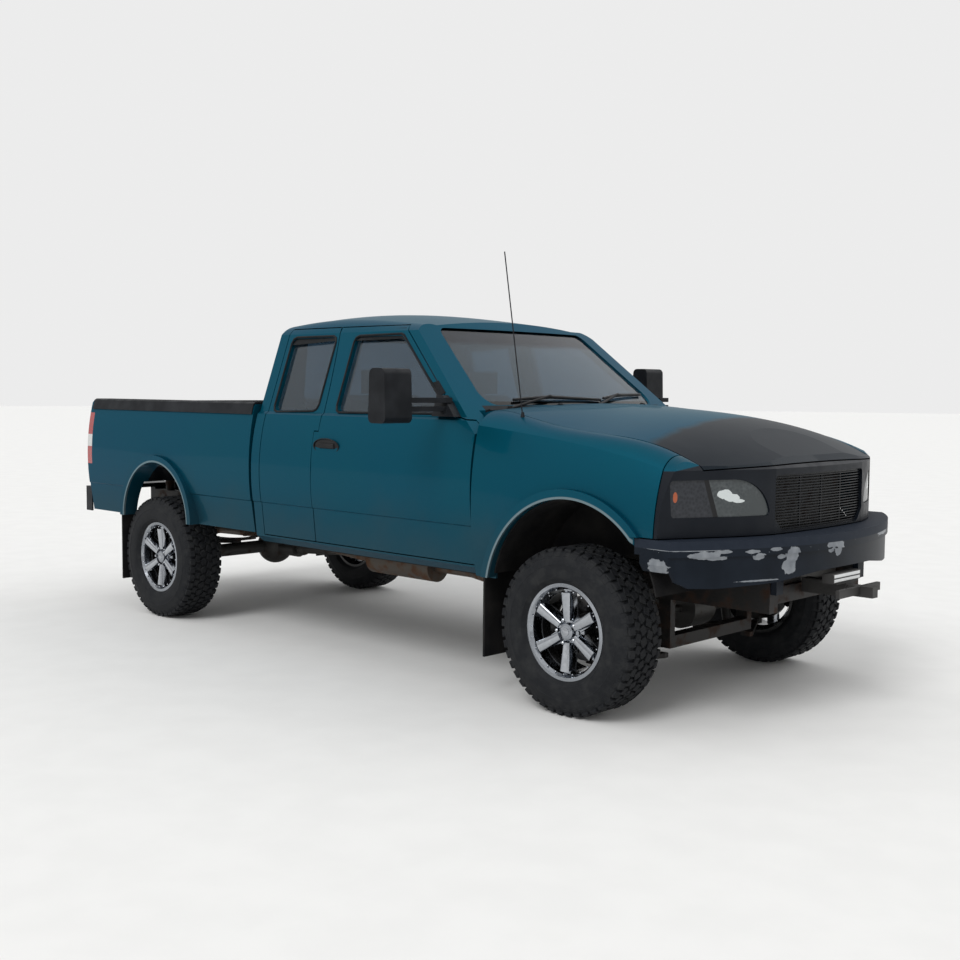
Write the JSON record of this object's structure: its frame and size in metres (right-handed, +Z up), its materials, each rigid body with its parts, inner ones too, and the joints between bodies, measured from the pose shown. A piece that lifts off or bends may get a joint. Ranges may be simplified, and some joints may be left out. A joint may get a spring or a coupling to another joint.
{
  "type": "pickup truck",
  "caption": "Extended-cab pickup truck with a short cargo box, four-wheel drive running gear, opening doors, hood and tailgate, steered front wheels and telescoping mirrors.",
  "frame": {"origin": "on the ground under the middle of the truck", "axes": "+X forward, +Y to the driver side (left), +Z up"},
  "size_m": [5.67, 2.784, 2.2124],
  "materials": {
    "body_paint": "gloss, weathered",
    "black_paint": "satin",
    "black_plastic": "matte",
    "gloss_black": "gloss",
    "chassis": "rough",
    "driveline": "rough",
    "exhaust_steel": "rough",
    "wheel_alloy": "satin",
    "tyre_rubber": "matte",
    "flap_rubber": "matte",
    "window_glass": "clear",
    "headlamp_lens": "clear",
    "tail_lamp_lens": "gloss",
    "seat_cloth": "woven",
    "dash_plastic": "grained",
    "core_metal": "matte"
  },
  "bodies": {
    "chassis_and_cab": {"antenna": "black_paint", "bed_rail_caps": "black_plastic", "cab_shell": "body_paint", "cargo_box": "body_paint", "cowl_panel": "black_plastic", "dashboard": "dash_plastic", "drive_shafts": "driveline", "exhaust": "exhaust_steel", "fender_left": "body_paint", "fender_right": "body_paint", "frame": "chassis", "front_bumper": "black_paint", "front_drive": "chassis", "front_receiver": "black_paint", "front_suspension": "chassis", "fuel_tank": "black_plastic", "grille": "gloss_black", "headlamps": "headlamp_lens", "mud_flaps": "flap_rubber", "nose_panel": "gloss_black", "powertrain": "driveline", "radiator": "core_metal", "rear_axle": "chassis", "rear_bumper": "black_paint", "rear_springs": "chassis", "rear_window": "window_glass", "seats": "seat_cloth", "tail_lamps": "tail_lamp_lens", "wheel_liners": "black_plastic", "windshield": "window_glass"},
    "hood": {"hood": "body_paint"},
    "tailgate": {"tailgate": "body_paint"},
    "front_door_right": {"front_door_right": "body_paint", "front_door_glass_right": "window_glass", "mirror_right": "black_plastic"},
    "front_door_left": {"front_door_left": "body_paint", "front_door_glass_left": "window_glass", "mirror_left": "black_plastic"},
    "rear_door_right": {"rear_door_right": "body_paint", "rear_door_glass_right": "window_glass"},
    "rear_door_left": {"rear_door_left": "body_paint", "rear_door_glass_left": "window_glass"},
    "steer_right": {"knuckle_right": "chassis"},
    "steer_left": {"knuckle_left": "chassis"},
    "wheel_front_right": {"tyre_front_right": "tyre_rubber", "rim_front_right": "wheel_alloy"},
    "wheel_front_left": {"tyre_front_left": "tyre_rubber", "rim_front_left": "wheel_alloy"},
    "wheel_rear_right": {"tyre_rear_right": "tyre_rubber", "rim_rear_right": "wheel_alloy"},
    "wheel_rear_left": {"tyre_rear_left": "tyre_rubber", "rim_rear_left": "wheel_alloy"}
  },
  "joints": [
    {"name": "hood_hinge", "type": "hinge", "parent": "chassis_and_cab", "child": "hood", "pos_m": [1.073, 0, 1.395], "axis": [0, -1, 0], "range_deg": [0, 38]},
    {"name": "tailgate_hinge", "type": "hinge", "parent": "chassis_and_cab", "child": "tailgate", "pos_m": [-2.649, 0, 0.867], "axis": [0, -1, 0], "range_deg": [0, 90]},
    {"name": "front_door_right_hinge", "type": "hinge", "parent": "chassis_and_cab", "child": "front_door_right", "pos_m": [1.165, -0.977, 1.1], "axis": [0, 0, 1], "range_deg": [0, 65]},
    {"name": "front_door_left_hinge", "type": "hinge", "parent": "chassis_and_cab", "child": "front_door_left", "pos_m": [1.165, 0.977, 1.1], "axis": [0, 0, -1], "range_deg": [0, 65]},
    {"name": "rear_door_right_hinge", "type": "hinge", "parent": "chassis_and_cab", "child": "rear_door_right", "pos_m": [-0.6, -0.977, 1.1], "axis": [0, 0, -1], "range_deg": [0, 90]},
    {"name": "rear_door_left_hinge", "type": "hinge", "parent": "chassis_and_cab", "child": "rear_door_left", "pos_m": [-0.6, 0.977, 1.1], "axis": [0, 0, 1], "range_deg": [0, 90]},
    {"name": "steer_right", "type": "hinge", "parent": "chassis_and_cab", "child": "steer_right", "pos_m": [1.765, -0.745, 0.4], "axis": [0, 0, 1], "range_deg": [-30, 30]},
    {"name": "steer_left", "type": "hinge", "parent": "chassis_and_cab", "child": "steer_left", "pos_m": [1.765, 0.745, 0.4], "axis": [0, 0, 1], "range_deg": [-30, 30]},
    {"name": "spin_front_right", "type": "hinge", "parent": "steer_right", "child": "wheel_front_right", "pos_m": [1.765, -0.845, 0.4], "axis": [0, 1, 0], "continuous": true},
    {"name": "spin_front_left", "type": "hinge", "parent": "steer_left", "child": "wheel_front_left", "pos_m": [1.765, 0.845, 0.4], "axis": [0, 1, 0], "continuous": true},
    {"name": "spin_rear_right", "type": "hinge", "parent": "chassis_and_cab", "child": "wheel_rear_right", "pos_m": [-1.761, -0.845, 0.4], "axis": [0, 1, 0], "continuous": true},
    {"name": "spin_rear_left", "type": "hinge", "parent": "chassis_and_cab", "child": "wheel_rear_left", "pos_m": [-1.761, 0.845, 0.4], "axis": [0, 1, 0], "continuous": true}
  ],
  "couplings": [
    {"joint": "steer_left", "follows": "steer_right", "ratio": 1}
  ]
}
